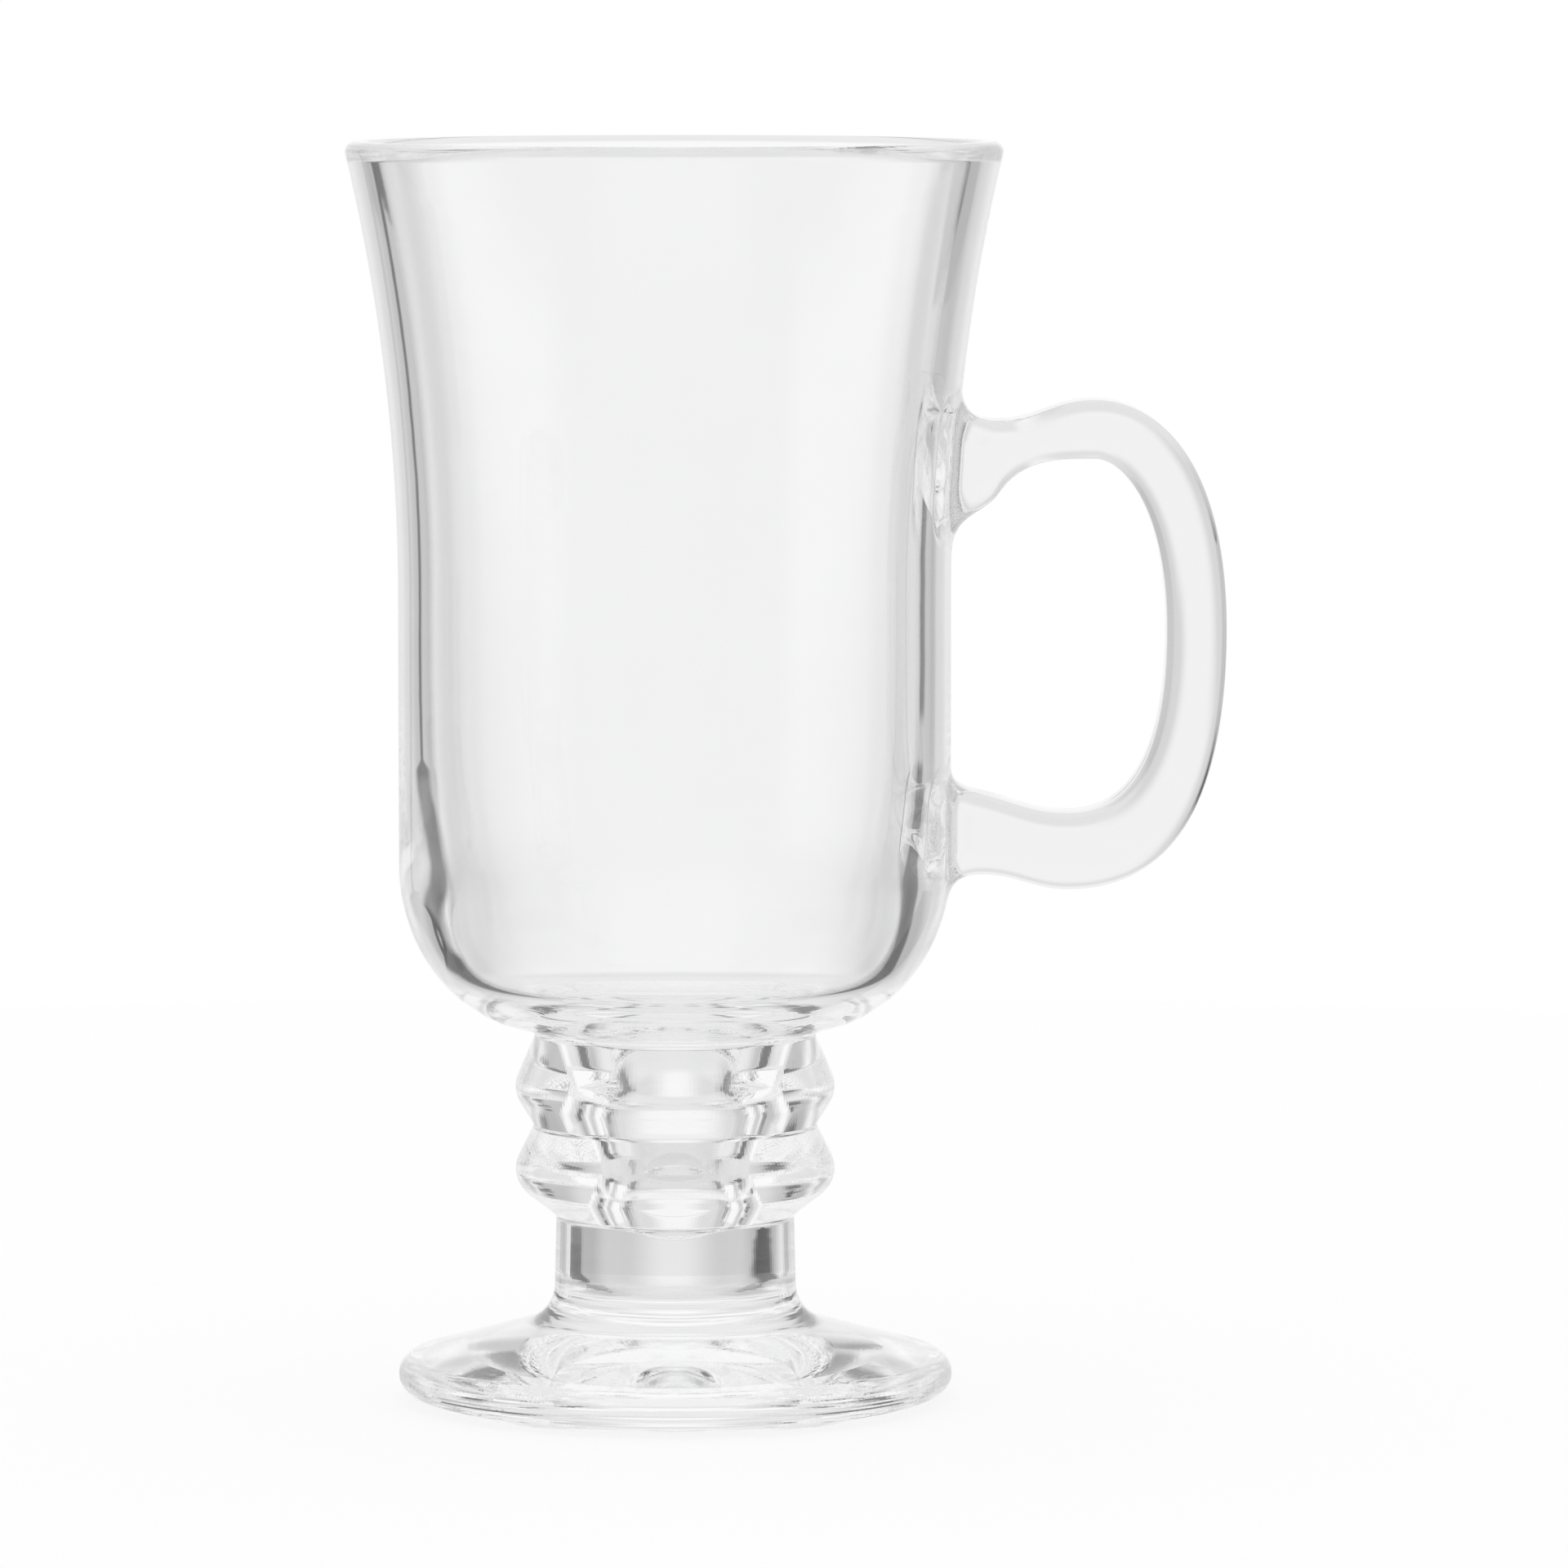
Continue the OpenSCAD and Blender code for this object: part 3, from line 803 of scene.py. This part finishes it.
# Table: a plain round white sheet that the mug stands on, which keeps a faint shadow of it.
# Glass shows the studio's pale ground in its place.
table_r = 450 * mm
table_gap = 0.02 * mm
table_white = 0.96
table_glow = 0.85
table_mesh = bpy.data.meshes.new("white_table")
table_turns = even_steps(0, 2 * math.pi, count=128)
table_edge = [(table_r * math.cos(turn), table_r * math.sin(turn), -table_gap) for turn in table_turns]
table_mesh.from_pydata(table_edge, [], [tuple(range(len(table_edge)))])
table = bpy.data.objects.new("white_table", table_mesh)
bpy.context.scene.collection.objects.link(table)
white_sheet = bpy.data.materials.new("white_sheet")
nodes = fresh_tree(white_sheet)
rays = nodes.make("ShaderNodeLightPath")
seen = {socket.name: Wire(nodes.tree, socket) for socket in rays.socket.node.outputs}
lit = nodes.make("ShaderNodeBsdfDiffuse", {}, {"Color": (table_white, table_white, table_white, 1.0)})
glow = nodes.make("ShaderNodeEmission", {}, {"Color": (1.0, 1.0, 1.0, 1.0), "Strength": 1.0})
mixed = nodes.make("ShaderNodeMixShader", {}, {0: seen["Is Camera Ray"] * table_glow, 1: lit, 2: glow})
nodes.make("ShaderNodeOutputMaterial", {}, {"Surface": mixed})
table_mesh.materials.append(white_sheet)
table.visible_glossy = False
table.visible_transmission = False

# Studio: a white backdrop that fades to its sides, white side panels, a dimmer front and dark gaps.
# Glass shows them as the grey bands and dark lines along its edges. All else is lit by an even white room.
# Turns are in degrees from the middle of the backdrop, and a height is the rise of a ray of length 1.
backdrop_edge_light = 0.74
backdrop_side_light = 0.53
panel_light = 1.0
front_light = 0.78
upper_light = 0.83
ceiling_light = 1.0
ground_light = 0.85
ground_side_light = 0.6
left_gap_turn = -37
left_gap_half = 1.5
left_gap_depth = 0.88
left_gap_low_depth = 0.7
right_gap_turn = 43
right_gap_half = 2.5
right_gap_depth = 0.74
panel_gap_turn = 62
panel_gap_depth = 0.4
level_left_turn = -38
level_left_depth = 0.75
level_right_turn = 50
level_right_depth = 0.7
scene = bpy.context.scene
scene.world = bpy.data.worlds.new("studio")
nodes = fresh_tree(scene.world)
way = nodes.make("ShaderNodeTexCoord", output="Generated")
split = nodes.make("ShaderNodeSeparateXYZ", {}, {"Vector": way})
x, y, z = (Wire(nodes.tree, socket) for socket in split.socket.node.outputs)
turn = nodes.maths("ARCTAN2", x, y) / math.radians(1)
aside = nodes.maths("PINGPONG", turn, 90.0)
down = 0 - z


def towards(value, goal, share):
    """Part of the way from one value to another."""
    return value + share * (goal - value)


def gap(centre, half, soft):
    """1 in a gap between two panels and 0 beside it, from its turn and half its width."""
    off = nodes.maths("ABSOLUTE", turn - centre)
    return 1 - off.ramp(half - soft, half + soft)


# Backdrop, side panels, front, ceiling and ground
high = 1 - down.ramp(0.03, 0.08)
light = towards(1.0, backdrop_edge_light, (aside - 5 * high).ramp(2, 17))
light = towards(light, backdrop_side_light, aside.ramp(24, 34))
light = towards(light, panel_light, aside.ramp(45, 54))
light = towards(light, front_light, nodes.maths("ABSOLUTE", turn).ramp(122, 136))
light = towards(light, upper_light, z.ramp(0.2, 0.4))
light = towards(light, ceiling_light, z.ramp(0.45, 0.6))
between = aside.ramp(20, 40) * (1 - aside.ramp(60, 80)) * (1 - down.ramp(0.75, 0.9))
ground = towards(ground_light, ground_side_light, between)
light = towards(light, ground, down.ramp(0.25, 0.4))

# Dark gaps: at each side of the backdrop one that widens downwards and one above it, one in each panel
low = down.ramp(0.152, 0.17)
lower = down.ramp(0.17, 0.3)
upright = (1 - down.ramp(0.7, 0.82)) * (1 - z.ramp(0.3, 0.5))
left = gap(left_gap_turn - 7 * lower, left_gap_half + 5.5 * low + 1.5 * lower, soft=1 + 2 * low)
left_depth = towards(left_gap_depth, left_gap_low_depth, down.ramp(0.172, 0.185))
light = light * (1 - left_depth * upright * down.ramp(0.04, 0.06) * left)
right = gap(right_gap_turn + 3 * low - lower, right_gap_half + 3 * low + 3 * lower, soft=1.5)
right_share = upright * down.ramp(0.054, 0.063) * (1 - down.ramp(0.1, 0.125) + low)
light = light * (1 - right_gap_depth * right_share * right)
level_share = z.ramp(0.0, 0.03) * (1 - z.ramp(0.15, 0.25))
light = light * (1 - level_left_depth * level_share * gap(level_left_turn, half=4, soft=2))
light = light * (1 - level_right_depth * level_share * gap(level_right_turn, half=4, soft=2))
panel_share = (1 - down.ramp(0.4, 0.55)) * (1 - z.ramp(0.3, 0.5))
for side in (-panel_gap_turn, panel_gap_turn):
    light = light * (1 - panel_gap_depth * panel_share * gap(side, half=5, soft=4))
rays = nodes.make("ShaderNodeLightPath")
seen = {socket.name: Wire(nodes.tree, socket) for socket in rays.socket.node.outputs}
by_glass = nodes.maths("MAXIMUM", seen["Is Glossy Ray"], seen["Is Transmission Ray"])
backdrop = nodes.make("ShaderNodeBackground", {}, {
    "Color": (1.0, 1.0, 1.0, 1.0), "Strength": 1 - by_glass + by_glass * light})
nodes.make("ShaderNodeOutputWorld", {}, {"Surface": backdrop})
scene.view_settings.view_transform = "Standard"
bounces = 200
scene.cycles.max_bounces = bounces
scene.cycles.transmission_bounces = bounces
scene.cycles.glossy_bounces = bounces
scene.cycles.transparent_max_bounces = 2 * bounces

# Camera: a long lens in front of the mug, as the photograph was taken.
# It stands a little above the lip and is tilted down.
camera_data = bpy.data.cameras.new("camera")
camera = bpy.data.objects.new("camera", camera_data)
scene.collection.objects.link(camera)
camera.location = (13.15 * mm, -1155.1 * mm, 173.95 * mm)
tilt_down = 4.915
camera.rotation_euler = (math.radians(90 - tilt_down), 0, 0)
camera_data.sensor_width = 36
camera_data.lens = 220.84
camera_data.clip_start = 10 * mm
camera_data.clip_end = 100
scene.camera = camera
